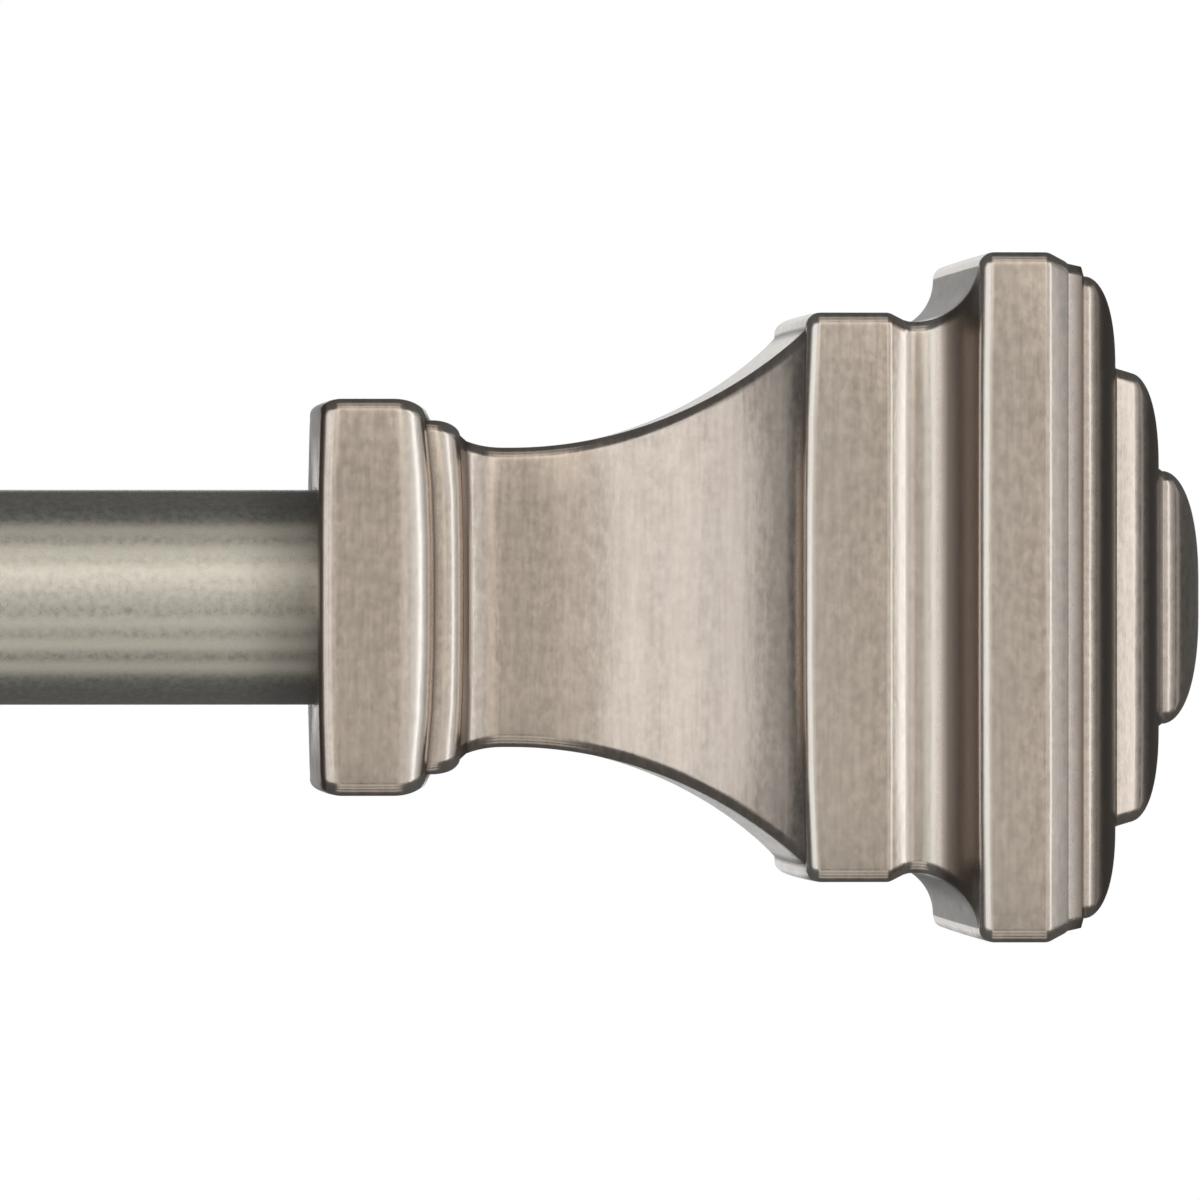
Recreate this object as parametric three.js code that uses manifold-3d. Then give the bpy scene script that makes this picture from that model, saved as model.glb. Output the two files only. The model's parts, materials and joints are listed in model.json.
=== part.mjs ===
// A telescoping curtain rod with a square trumpet finial on each end, on two adjustable wall brackets.
// Millimetres. +X runs along the rod to the right, -Y faces the room, +Z is up.
// The origin is the centre of the right wall plate's back face, so the wall is the plane y = 0.
import * as THREE from "three";
import { mergeVertices } from "three/addons/utils/BufferGeometryUtils.js";
import Module from "manifold-3d";

// ---- Driving dimensions -------------------------------------------------------------------------

const INCH = 25.4;
const WALL_TO_ROD = 90; // wall face to the rod's axis, with the arms at mid travel
const ROD_LENGTH = 36 * INCH; // tube end to tube end, as it stands
const TUBE_LENGTH = 676; // each tube, cut length
const FINIAL_TO_BRACKET = 60; // collar face to the middle of the bracket

const OUTER_R = (5 / 16) * INCH; // a 5/8 inch tube
const TUBE_WALL = 0.6;
const INNER_R = 7.0;
const SLIDE_GAP = 0.12; // radial play of a bush or plug in its tube
const CLEAR = 0.3; // gap between pieces that touch

const SOCKET_R = OUTER_R + CLEAR; // recess in the finial's collar that hides the tube's end
const SOCKET_DEPTH = 13.5;
const PLUG_FLANGE = 5.3; // the thick head that fills the end of the recess
const PLUG_LENGTH = 24; // the part of a plug that is inside its tube
const PLUG_RIBS = 8;
const PIN_R = 3;
const PIN_LENGTH = 36;
const PIN_HOLD = 17; // how far the pin goes into the finial beyond the recess

const ARM_WIDTH = 13;
const ARM_THICK = 4;
const CRADLE_WALL = 2.8;
const CRADLE_R = OUTER_R + CLEAR;
const CRADLE_OUT = CRADLE_R + CRADLE_WALL;
const LIP_RISE = 7; // front lip above the rod's axis
const BACK_RISE = 10; // back wall above the rod's axis
const ARM_REAR = 16; // wall face to the arm's rear end
const BOSS_R = 4.5;
const BOSS_OUT = 3;

const PLATE = { width: 27, height: 78, thick: 2.2, corner: 5 };
const HOLE_RISE = 28; // screw holes above and below the plate's middle
const PLATE_HOLE_R = 2.5;
const CHANNEL = { wall: 1.8, length: 50, rise: 6.5 };
const LOCK_Y = 36; // wall face to the projection screw
const SLOT = { length: 32, radius: 2.3 };
const NUT = { length: 10, thick: 3.2 };
const M4_R = 2;

const CLAMP_R = 2.5; // M5
const CLAMP_HOLE_R = 2.65;
const PAD = { radius: 2.2, thick: 1.5 };
const KNOB = { radius: 7, thick: 6, lobes: 12, scallop: 0.45 };
const CLAMP_SHANK = 7.4; // pad to the knob's inner face

const WALL_SCREW = { shank: 2, head: 4, headRise: 2.6, length: 38 };
const WALL_PLUG = { radius: 3, bore: 2.15, start: 2.5, length: 30, barbs: 5, barb: 0.45 };

// The rod's axis, from the arm's bar lying on the height of the plate's middle.
const AXIS_Z = CRADLE_OUT - ARM_THICK / 2;
const COLLAR_X = FINIAL_TO_BRACKET; // the right finial's collar face
const TUBE_END_IN = SOCKET_DEPTH - PLUG_FLANGE - 2 * SLIDE_GAP; // how far a tube goes into the collar
const RIGHT_END = COLLAR_X + TUBE_END_IN;
const LEFT_END = RIGHT_END - ROD_LENGTH;
const LEFT_COLLAR_X = LEFT_END + TUBE_END_IN;
const LEFT_BRACKET_X = LEFT_COLLAR_X + FINIAL_TO_BRACKET;
const LEFT_BRACKET_Z = OUTER_R - INNER_R; // the thinner tube sits deeper, so that bracket is set higher

// ---- Materials ----------------------------------------------------------------------------------

const metal = (color, roughness) =>
  new THREE.MeshStandardMaterial({ color, roughness, metalness: 1 });
const plastic = (color, roughness) =>
  new THREE.MeshStandardMaterial({ color, roughness, metalness: 0 });

const FINIAL_PEWTER = metal(0xa8998a, 0.4);
const ROD_PEWTER = metal(0x9f9a8f, 0.35);
const BRACKET_PEWTER = metal(0x9b8e80, 0.42);
const ZINC = metal(0xb9babb, 0.35);
const NYLON = plastic(0xe4e0d4, 0.5);
const GREY_PLASTIC = plastic(0x8f9296, 0.6);

// ---- Solids -------------------------------------------------------------------------------------

const wasm = await Module();
wasm.setup();

// A closed geometry as a manifold-3d solid.
function solid(geometry) {
  const bare = geometry.index ? geometry.toNonIndexed() : geometry.clone();
  bare.deleteAttribute("normal");
  bare.deleteAttribute("uv");
  const merged = mergeVertices(bare, 1e-4);
  const vertProperties = merged.attributes.position.array;
  const triVerts = new Uint32Array(merged.index.array);
  return new wasm.Manifold(new wasm.Mesh({ numProp: 3, vertProperties, triVerts }));
}

// A manifold-3d solid back as a geometry.
function geometryOf(body) {
  const { vertProperties, triVerts } = body.getMesh();
  const geometry = new THREE.BufferGeometry();
  geometry.setAttribute("position", new THREE.BufferAttribute(vertProperties, 3));
  geometry.setIndex(new THREE.BufferAttribute(triVerts, 1));
  return geometry;
}

const join = (first, ...others) =>
  geometryOf(others.reduce((all, g) => all.add(solid(g)), solid(first)));
const cut = (first, ...tools) =>
  geometryOf(tools.reduce((all, g) => all.subtract(solid(g)), solid(first)));

// A profile of [x, radius] points turned round the X axis. It runs towards +X on the outside.
function turned(profile, segments = 32, start = 0) {
  const points = profile.map(([x, r]) => new THREE.Vector2(r, x));
  const lathe = new THREE.LatheGeometry(points, segments, start);
  return lathe.rotateZ(-Math.PI / 2);
}

const cylinder = (r, x0, x1, segments = 32) =>
  turned([[x0, 0], [x0, r], [x1, r], [x1, 0]], segments);

const ring = (rOut, rIn, x0, x1, segments = 40) =>
  turned([[x0, rIn], [x0, rOut], [x1, rOut], [x1, rIn], [x0, rIn]], segments);

// A profile of [x, half width] points as a square body along X, mitred at its four corners.
const squared = (profile) =>
  turned(profile.map(([x, h]) => [x, h * Math.SQRT2]), 4, Math.PI / 4);

// Extrusions of a flat shape: standing on the wall plane, lying level, or seen from the end of the rod.
const flat = (shape, depth, curveSegments = 8) =>
  new THREE.ExtrudeGeometry(shape, { depth, bevelEnabled: false, curveSegments });
const againstWall = (shape, depth) => flat(shape, depth).rotateX(Math.PI / 2);
const END_ON = new THREE.Matrix4().makeBasis(
  new THREE.Vector3(0, 1, 0),
  new THREE.Vector3(0, 0, 1),
  new THREE.Vector3(1, 0, 0),
);
const endOn = (shape, width) =>
  flat(shape, width).applyMatrix4(END_ON).translate(-width / 2, 0, 0);

function roundedRectangle(width, height, r) {
  const [x, y] = [width / 2, height / 2];
  const shape = new THREE.Shape();
  shape.moveTo(-x + r, -y);
  shape.absarc(x - r, -y + r, r, -Math.PI / 2, 0, false);
  shape.absarc(x - r, y - r, r, 0, Math.PI / 2, false);
  shape.absarc(-x + r, y - r, r, Math.PI / 2, Math.PI, false);
  shape.absarc(-x + r, -y + r, r, Math.PI, 1.5 * Math.PI, false);
  return shape;
}

// An outline round the origin whose radius is a function of the angle.
function lobed(radiusAt, count) {
  const shape = new THREE.Shape();
  for (let i = 0; i < count; i++) {
    const a = (i / count) * 2 * Math.PI;
    const r = radiusAt(a);
    if (i) shape.lineTo(r * Math.cos(a), r * Math.sin(a));
    else shape.moveTo(r * Math.cos(a), r * Math.sin(a));
  }
  return shape;
}

// Points of an elliptic arc about (cx, cy), from angle a0 to a1 in degrees.
function arc(cx, cy, rx, ry, a0, a1, steps) {
  return Array.from({ length: steps + 1 }, (_, i) => {
    const a = THREE.MathUtils.degToRad(a0 + ((a1 - a0) * i) / steps);
    return [cx + rx * Math.cos(a), cy + ry * Math.sin(a)];
  });
}

function part(name, geometry, material, position = [0, 0, 0], rotation = [0, 0, 0]) {
  const mesh = new THREE.Mesh(geometry, material);
  mesh.name = name;
  mesh.position.set(...position);
  mesh.rotation.set(...rotation);
  return mesh;
}

function group(position, ...members) {
  const g = new THREE.Group();
  g.position.set(...position);
  g.add(...members);
  return g;
}

// Turns that point a piece made along +X another way.
const TO_WALL = [0, 0, Math.PI / 2];
const UPWARDS = [0, -Math.PI / 2, 0];

// ---- Finial -------------------------------------------------------------------------------------

// Half widths of the square casting, from the collar face to the domed end.
const FINIAL_PROFILE = [
  [0, 0],
  ...arc(1.6, 13.6, 1.6, 0.9, 180, 90, 4), // collar
  ...arc(5.3, 13.3, 2.2, 1.2, 90, 10, 4),
  [7.7, 12.95], // bead
  ...arc(8.0, 11.75, 2.2, 1.2, 90, 5, 4),
  ...arc(13.4, 18.97, 8.0, 8.0, 250.3, 270, 3), // the neck starts under the bead
  ...arc(14.0, 41.47, 30.5, 30.5, 270, 313.8, 12), // trumpet
  ...arc(36.2, 19.75, 1.05, 0.95, 180, 90, 3), // first ring
  ...arc(41.1, 19.6, 1.7, 1.1, 90, 40, 3),
  [42.7, 20.05],
  ...arc(43.1, 24.35, 4.3, 4.3, 270, 355, 7), // cove
  ...arc(48.5, 24.05, 1.1, 0.95, 180, 90, 3), // widest ring
  ...arc(52.2, 24.0, 1.5, 1.0, 90, 20, 3),
  [53.7, 24.0],
  [54.8, 23.7],
  ...arc(55.1, 16.4, 2.75, 6.9, 90, 5, 8), // three domed steps
  ...arc(58.0, 8.9, 3.65, 7.8, 90, 5, 8),
  ...arc(61.9, 0, 3.45, 9.3, 90, 0, 8),
];

const finialBody = () =>
  cut(
    squared(FINIAL_PROFILE),
    cylinder(SOCKET_R, -1, SOCKET_DEPTH, 40),
    cylinder(PIN_R + SLIDE_GAP, SOCKET_DEPTH - 1, SOCKET_DEPTH + PIN_HOLD + CLEAR, 20),
  );

// The steel pin that is fast in the finial and turns in the plug.
function pinGeometry() {
  const x1 = SOCKET_DEPTH + PIN_HOLD;
  const x0 = x1 - PIN_LENGTH;
  const tip = 0.6;
  const profile = [[x0, 0], [x0, PIN_R - tip], [x0 + tip, PIN_R], [x1 - tip, PIN_R]];
  return turned([...profile, [x1, PIN_R - tip], [x1, 0]], 20);
}

// A ribbed nylon plug for a tube of bore r, with a flange that rests on the tube's end.
function plugGeometry(r, flangeR) {
  const outside = SOCKET_DEPTH - SLIDE_GAP;
  const shoulder = outside - PLUG_FLANGE;
  const rib = 0.35;
  const ribbed = lobed((a) => r - SLIDE_GAP - rib + rib * Math.cos(PLUG_RIBS * a), PLUG_RIBS * 5);
  const body = flat(ribbed, PLUG_LENGTH + PLUG_FLANGE / 2)
    .rotateY(Math.PI / 2)
    .translate(shoulder - PLUG_LENGTH, 0, 0);
  const flange = cylinder(flangeR, shoulder, outside, 40);
  const bore = cylinder(PIN_R + SLIDE_GAP, shoulder - PLUG_LENGTH + 2, outside + 1, 20);
  return cut(join(body, flange), bore);
}

// Everything on one end of the rod, along +X from the collar face.
function finialGroup(side, x, turn, tubeR) {
  const pieces = [
    part(`${side}_finial_body`, finialBody(), FINIAL_PEWTER),
    part(`${side}_finial_pin`, pinGeometry(), ZINC),
    part(`${side}_end_plug`, plugGeometry(tubeR - TUBE_WALL, tubeR), NYLON),
  ];
  if (tubeR < OUTER_R) {
    const length = SOCKET_DEPTH - 4 * CLEAR;
    const spacer = ring(SOCKET_R - SLIDE_GAP, tubeR + SLIDE_GAP, CLEAR, length);
    pieces.push(part(`${side}_reducer_ring`, spacer, GREY_PLASTIC));
  }
  const g = group([x, -WALL_TO_ROD, AXIS_Z], ...pieces);
  g.rotation.z = turn;
  return g;
}

// ---- Rod ----------------------------------------------------------------------------------------

function rodGroup() {
  const innerRight = LEFT_END + TUBE_LENGTH;
  const outer = ring(OUTER_R, OUTER_R - TUBE_WALL, RIGHT_END - TUBE_LENGTH, RIGHT_END);
  const inner = ring(INNER_R, INNER_R - TUBE_WALL, LEFT_END, innerRight);
  const spigot = INNER_R - TUBE_WALL - SLIDE_GAP;
  const flange = OUTER_R - TUBE_WALL - SLIDE_GAP;
  const bush = turned(
    [[-14, 0], [-14, spigot - 0.6], [-13.4, spigot], [CLEAR, spigot], [CLEAR, flange],
      [3.6, flange], [4.2, flange - 0.6], [4.2, 0]],
    40,
  );
  return group(
    [0, -WALL_TO_ROD, AXIS_Z],
    part("outer_tube", outer, ROD_PEWTER),
    part("inner_tube", inner, ROD_PEWTER),
    part("telescope_bush", bush, NYLON, [innerRight, 0, 0]),
  );
}

// ---- Bracket ------------------------------------------------------------------------------------

// A stamped plate with two screw holes and a U channel that guides the arm.
function wallPlate() {
  const face = roundedRectangle(PLATE.width, PLATE.height, PLATE.corner);
  for (const z of [-HOLE_RISE, HOLE_RISE]) {
    face.holes.push(new THREE.Path().absarc(0, z, PLATE_HOLE_R, 0, 2 * Math.PI, false));
  }
  const inside = ARM_WIDTH / 2 + CLEAR;
  const outside = inside + CHANNEL.wall;
  const floor = -ARM_THICK / 2 - CLEAR;
  const u = new THREE.Shape();
  u.moveTo(-outside, CHANNEL.rise);
  u.absarc(-outside + 2, floor - CHANNEL.wall + 2, 2, Math.PI, 1.5 * Math.PI, false);
  u.absarc(outside - 2, floor - CHANNEL.wall + 2, 2, 1.5 * Math.PI, 2 * Math.PI, false);
  u.lineTo(outside, CHANNEL.rise);
  u.lineTo(inside, CHANNEL.rise);
  u.lineTo(inside, floor);
  u.lineTo(-inside, floor);
  u.lineTo(-inside, CHANNEL.rise);
  const channel = againstWall(u, CHANNEL.length - PLATE.thick / 2).translate(0, -PLATE.thick / 2, 0);
  const screwHole = cylinder(M4_R + CLEAR, floor - CHANNEL.wall - 1, floor + 1, 24)
    .rotateY(-Math.PI / 2)
    .translate(0, -LOCK_Y, 0);
  return cut(join(againstWall(face, PLATE.thick), channel), screwHole);
}

// The flat bar, slotted for the projection screw, that curls up round the rod. The rod's axis is at 0, 0.
function cradleArm() {
  const rear = WALL_TO_ROD - ARM_REAR;
  const barTop = -CRADLE_OUT + ARM_THICK;
  const wallMiddle = (CRADLE_R + CRADLE_OUT) / 2;
  const fillet = 4;
  const side = new THREE.Shape();
  side.moveTo(rear, -CRADLE_OUT);
  side.absarc(0, 0, CRADLE_OUT, -Math.PI / 2, -Math.PI, true);
  side.absarc(-wallMiddle, LIP_RISE, CRADLE_WALL / 2, Math.PI, 0, true);
  side.absarc(0, 0, CRADLE_R, Math.PI, 2 * Math.PI, false);
  side.absarc(wallMiddle, BACK_RISE, CRADLE_WALL / 2, Math.PI, 0, true);
  side.absarc(CRADLE_OUT + fillet, barTop + fillet, fillet, Math.PI, 1.5 * Math.PI, false);
  side.lineTo(rear, barTop);
  const boss = cylinder(BOSS_R, -CRADLE_OUT - BOSS_OUT, -CRADLE_R - CRADLE_WALL / 2)
    .rotateZ(Math.PI / 2);
  const clampHole = cylinder(CLAMP_HOLE_R, -CRADLE_OUT - BOSS_OUT - 1, -CRADLE_R + 2, 24)
    .rotateZ(Math.PI / 2);
  const half = SLOT.length / 2 - SLOT.radius;
  const slot = new THREE.Shape();
  slot.absarc(0, half, SLOT.radius, 0, Math.PI, false);
  slot.absarc(0, -half, SLOT.radius, Math.PI, 2 * Math.PI, false);
  const slotTool = flat(slot, ARM_THICK + 2).translate(0, WALL_TO_ROD - LOCK_Y, -CRADLE_OUT - 1);
  return cut(join(endOn(side, ARM_WIDTH), boss), clampHole, slotTool);
}

// A cross recess, to be cut into a screw head whose top is at x and which points along +X.
function crossRecess(x, size, depth) {
  const blade = (w, h) => new THREE.BoxGeometry(2 * depth, w, h).translate(x, 0, 0);
  return join(blade(size, size / 4), blade(size / 4, size));
}

// A round-headed screw along +X, with the underside of its head at 0.
function screw(shankR, length, headR, headRise, tipR, tipLength) {
  const dome = arc(0, 0, headRise, headR, 180, 105, 3);
  const body = turned(
    [...dome, [-0.35 * headRise, headR], [0, headR], [0, shankR],
      [length - tipLength, shankR], [length, tipR], [length, 0]],
    16,
  );
  return cut(body, crossRecess(-headRise, headR, 0.4 * headRise));
}

// A collarless plug with sawtooth barbs, split over its far two thirds.
function wallPlugGeometry() {
  const { radius, bore, length, barbs, barb } = WALL_PLUG;
  const pitch = (length - 6) / barbs;
  const teeth = Array.from({ length: barbs }, (_, i) => [
    [3 + i * pitch, radius],
    [3 + (i + 0.92) * pitch, radius - barb],
  ]).flat();
  const sleeve = turned(
    [[0, bore], [0, radius], ...teeth, [length, radius - 1], [length, bore - 0.05], [0, bore]],
    16,
  );
  const slit = new THREE.BoxGeometry(length, 0.8, 4 * radius).translate(length * 0.85, 0, 0);
  return cut(sleeve, slit);
}

// The knurled knob and its threaded shank. The shank's tip is at 0 and the knob is towards -X.
function thumbScrew() {
  const { radius, thick, lobes, scallop } = KNOB;
  const outline = lobed((a) => radius - scallop * (1 - Math.cos(lobes * a)), lobes * 4);
  const knob = flat(outline, thick).rotateY(Math.PI / 2).translate(-CLAMP_SHANK - thick, 0, 0);
  const collar = cylinder(4, -CLAMP_SHANK - 1, -CLAMP_SHANK + 1);
  const shank = turned(
    [[-CLAMP_SHANK - 1, 0], [-CLAMP_SHANK - 1, CLAMP_R], [-0.5, CLAMP_R], [0, CLAMP_R - 0.5], [0, 0]],
    24,
  );
  return join(knob, collar, shank);
}

// One bracket, with its wall plate's middle at x, z and its cradle on a tube of radius tubeR.
function bracketGroup(side, x, z, tubeR) {
  const rodY = -WALL_TO_ROD;
  const padY = rodY - tubeR - CLEAR - PAD.thick;
  const nutZ = ARM_THICK / 2 + CLEAR;
  const channelUnder = -ARM_THICK / 2 - CLEAR - CHANNEL.wall;
  const nut = cut(
    new THREE.BoxGeometry(ARM_WIDTH - 2 * CLEAR, NUT.length, NUT.thick),
    cylinder(M4_R + SLIDE_GAP, -NUT.thick, NUT.thick, 24).rotateY(-Math.PI / 2),
  );
  const pieces = [
    part(`${side}_wall_plate`, wallPlate(), BRACKET_PEWTER),
    part(`${side}_cradle_arm`, cradleArm(), BRACKET_PEWTER, [0, rodY, AXIS_Z]),
    part(
      `${side}_projection_screw`,
      screw(M4_R, 12.5, 3.8, 2.6, M4_R - 0.5, 0.8),
      ZINC,
      [0, -LOCK_Y, channelUnder - SLIDE_GAP],
      UPWARDS,
    ),
    part(`${side}_projection_nut`, nut, ZINC, [0, -LOCK_Y, nutZ + NUT.thick / 2]),
    part(`${side}_clamp_pad`, cylinder(PAD.radius, 0, PAD.thick, 24), NYLON, [0, padY, AXIS_Z], TO_WALL),
    part(`${side}_clamp_screw`, thumbScrew(), BRACKET_PEWTER, [0, padY - SLIDE_GAP, AXIS_Z], TO_WALL),
  ];
  for (const [level, rise] of [["upper", HOLE_RISE], ["lower", -HOLE_RISE]]) {
    const { shank, head, headRise, length } = WALL_SCREW;
    pieces.push(
      part(
        `${side}_wall_screw_${level}`,
        screw(shank, length, head, headRise, 0.3, 7),
        ZINC,
        [0, -PLATE.thick - SLIDE_GAP, rise],
        TO_WALL,
      ),
      part(
        `${side}_wall_plug_${level}`,
        wallPlugGeometry(),
        GREY_PLASTIC,
        [0, WALL_PLUG.start, rise],
        TO_WALL,
      ),
    );
  }
  return group([x, 0, z], ...pieces);
}

// ---- The whole object ---------------------------------------------------------------------------

const curtainRod = new THREE.Group();
curtainRod.add(
  bracketGroup("right", 0, 0, OUTER_R),
  bracketGroup("left", LEFT_BRACKET_X, LEFT_BRACKET_Z, INNER_R),
  rodGroup(),
  finialGroup("right", COLLAR_X, 0, OUTER_R),
  finialGroup("left", LEFT_COLLAR_X, Math.PI, INNER_R),
);

export default curtainRod;
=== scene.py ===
"""The looks of a telescoping curtain rod with square trumpet finials on two cradle brackets."""

import json
import math

import bmesh
import bpy
from mathutils import Matrix, Vector
from mathutils.geometry import tessellate_polygon


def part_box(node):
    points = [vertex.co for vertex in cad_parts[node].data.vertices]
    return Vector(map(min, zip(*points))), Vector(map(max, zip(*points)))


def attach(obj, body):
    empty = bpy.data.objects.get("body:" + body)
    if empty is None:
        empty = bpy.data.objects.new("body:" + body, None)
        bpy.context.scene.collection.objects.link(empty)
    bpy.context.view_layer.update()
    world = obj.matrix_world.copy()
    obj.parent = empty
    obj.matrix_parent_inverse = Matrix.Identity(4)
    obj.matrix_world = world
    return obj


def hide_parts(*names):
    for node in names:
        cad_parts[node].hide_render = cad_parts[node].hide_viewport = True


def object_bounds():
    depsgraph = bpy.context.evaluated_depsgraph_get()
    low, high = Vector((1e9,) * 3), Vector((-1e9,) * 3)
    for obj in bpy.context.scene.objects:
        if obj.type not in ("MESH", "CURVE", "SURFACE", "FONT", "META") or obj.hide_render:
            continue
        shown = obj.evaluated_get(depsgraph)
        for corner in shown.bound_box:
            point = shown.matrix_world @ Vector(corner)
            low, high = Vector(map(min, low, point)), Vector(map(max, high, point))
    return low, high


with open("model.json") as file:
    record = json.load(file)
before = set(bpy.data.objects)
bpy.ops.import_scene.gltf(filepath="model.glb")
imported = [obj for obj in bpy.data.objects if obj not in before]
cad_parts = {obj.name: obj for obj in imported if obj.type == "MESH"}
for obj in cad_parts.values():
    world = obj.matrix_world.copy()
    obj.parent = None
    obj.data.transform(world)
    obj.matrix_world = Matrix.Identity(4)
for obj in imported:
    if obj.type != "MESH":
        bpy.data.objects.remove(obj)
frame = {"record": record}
CAD_BOX = [list(corner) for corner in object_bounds()]

# ---- Sizes in millimetres, places from the frame in metres ---------------------------------------

MM = 0.001
LB, UB = 0, 1  # the lower and the upper corner of a box

OUTER_R = 15.875 / 2
INNER_R = 7.0
TUBE_WALL = 0.6
SLIDE_GAP = 0.12
CLEAR = 0.3

SOCKET_R = OUTER_R + CLEAR
SOCKET_DEPTH = 13.5
PLUG_FLANGE = 5.3
PLUG_LENGTH = 24.0
PIN_R = 3.0
PIN_LENGTH = 36.0
PIN_HOLD = 17.0

ARM_WIDTH = 13.0
ARM_THICK = 4.0
CRADLE_WALL = 2.8
CRADLE_OUT = SOCKET_R + CRADLE_WALL
LIP_RISE = 7.0
BACK_RISE = 10.0
ARM_LENGTH = 74.0  # rod axis to the arm's rear end, towards the wall
SLOT_TO_AXIS = 54.0
SLOT_LENGTH = 32.0
SLOT_R = 2.3

PLATE_WIDTH, PLATE_HEIGHT, PLATE_THICK, PLATE_CORNER = 27.0, 78.0, 2.2, 5.0
HOLE_RISE = 28.0
HOLE_R = 2.5
CHANNEL_LENGTH = 50.0
CHANNEL_WALL = 1.8
CHANNEL_RISE = 6.5
LOCK_Y = -36.0
LOCK_HOLE_R = 2.3
CLAMP_HOLE_R = 2.65
CLAMP_BOSS_R = 4.5

SCREW_R = 2.0  # shank of the projection and the wall screws
PROJECTION_SCREW_LENGTH = 12.5
WALL_SCREW_LENGTH = 38.0

NODE_BODY = {
    node: body
    for body, nodes in frame["record"]["behaviour"]["bodies"].items()
    for node in nodes
}
NODE_SLOT = {row["node"]: row["material_slot"] for row in frame["record"]["subparts"]}


def middle(node):
    low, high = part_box(node)
    return (low + high) / 2


AXIS = middle("outer_tube")
COLLAR_X = {
    "right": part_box("right_finial_body")[LB].x,
    "left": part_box("left_finial_body")[UB].x,
}


# ---- Camera --------------------------------------------------------------------------------------

LENS = 446.8  # a long lens, on a 36 mm sensor
SENSOR = 36.0
STAND_OFF = 1.1  # camera to the rod's axis, in metres
STAND_LEFT = 0.03227  # camera to the left of the right collar, in metres
LOOK_RIGHT = 0.02105  # what the camera looks at, to the right of the collar
LOOK_DOWN = 0.0002


def aim(obj, target):
    obj.rotation_euler = (Vector(target) - obj.location).to_track_quat("-Z", "Y").to_euler()


def add_camera():
    data = bpy.data.cameras.new("camera")
    camera = bpy.data.objects.new("camera", data)
    bpy.context.scene.collection.objects.link(camera)
    data.lens = LENS
    data.sensor_width = SENSOR
    data.clip_start = 0.01
    collar = COLLAR_X["right"]
    camera.location = (collar - STAND_LEFT, AXIS.y - STAND_OFF, AXIS.z)
    aim(camera, (collar + LOOK_RIGHT, AXIS.y, AXIS.z - LOOK_DOWN))
    bpy.context.scene.camera = camera


# ---- Mesh building -------------------------------------------------------------------------------

def rotation(x_axis, z_axis):
    """A turn that takes local X and Z to the two axes."""
    x, z = Vector(x_axis), Vector(z_axis)
    return Matrix((x, z.cross(x), z)).transposed().to_4x4()


def place(origin, x_axis=(1, 0, 0), z_axis=(0, 0, 1)):
    """Millimetres along the given axes, from an origin in metres, as a matrix."""
    return Matrix.Translation(origin) @ rotation(x_axis, z_axis) @ Matrix.Scale(MM, 4)


def mesh_object(name, verts, faces, matrix):
    mesh = bpy.data.meshes.new(name)
    mesh.from_pydata([matrix @ Vector(v) for v in verts], [], faces)
    obj = bpy.data.objects.new(name, mesh)
    bpy.context.scene.collection.objects.link(obj)
    with_bmesh(obj, lambda bm: bmesh.ops.recalc_face_normals(bm, faces=bm.faces))
    return obj


def with_bmesh(obj, change):
    bm = bmesh.new()
    bm.from_mesh(obj.data)
    change(bm)
    bm.to_mesh(obj.data)
    bm.free()


def smooth(obj, angle=32.0):
    """Smooth shading that breaks at edges sharper than angle."""
    limit = math.radians(angle)

    def mark(bm):
        for face in bm.faces:
            face.smooth = True
        for edge in bm.edges:
            edge.smooth = len(edge.link_faces) == 2 and edge.calc_face_angle(0.0) < limit

    with_bmesh(obj, mark)


def arc(cx, cy, rx, ry, start, end, steps):
    """Points of an elliptic arc about (cx, cy), angles in degrees."""
    angles = [math.radians(start + (end - start) * i / steps) for i in range(steps + 1)]
    return [(cx + rx * math.cos(a), cy + ry * math.sin(a)) for a in angles]


def span(start, end, steps):
    return [start + (end - start) * i / steps for i in range(steps + 1)]


def round_section(count=64, relief=None):
    """A circle of radius r, or of radius relief(r, x, angle)."""
    angles = [2 * math.pi * i / count for i in range(count)]

    def section(r, x):
        radii = [relief(r, x, a) if relief else r for a in angles]
        return [(q * math.cos(a), q * math.sin(a)) for q, a in zip(radii, angles)]

    return section


def skin(name, profile, section, matrix, closed=False):
    """A surface along local X through the sections at each (x, size). Size 0 is a point on the axis."""
    verts, faces, rings = [], [], []
    for x, size in profile:
        points = section(size, x) if size > 0 else [(0.0, 0.0)]
        rings.append(range(len(verts), len(verts) + len(points)))
        verts += [(x, y, z) for y, z in points]
    pairs = list(zip(rings, rings[1:] + (rings[:1] if closed else [])))
    for a, b in pairs[: len(rings) if closed else len(rings) - 1]:
        for i in range(max(len(a), len(b))):
            j = i + 1
            quad = [a[i % len(a)], a[j % len(a)], b[j % len(b)], b[i % len(b)]]
            face = list(dict.fromkeys(quad))
            if len(face) > 2:
                faces.append(face)
    return mesh_object(name, verts, faces, matrix)


def inset(loop, distance):
    """A loop moved towards its left-hand side."""
    moved = []
    for i, here in enumerate(loop):
        here = Vector(here)
        before = (here - Vector(loop[i - 1])).normalized()
        after = (Vector(loop[(i + 1) % len(loop)]) - here).normalized()
        left = Vector((-before.y, before.x))
        blend = left + Vector((-after.y, after.x))
        moved.append(here + blend * (distance / blend.dot(left)))
    return moved


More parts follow.
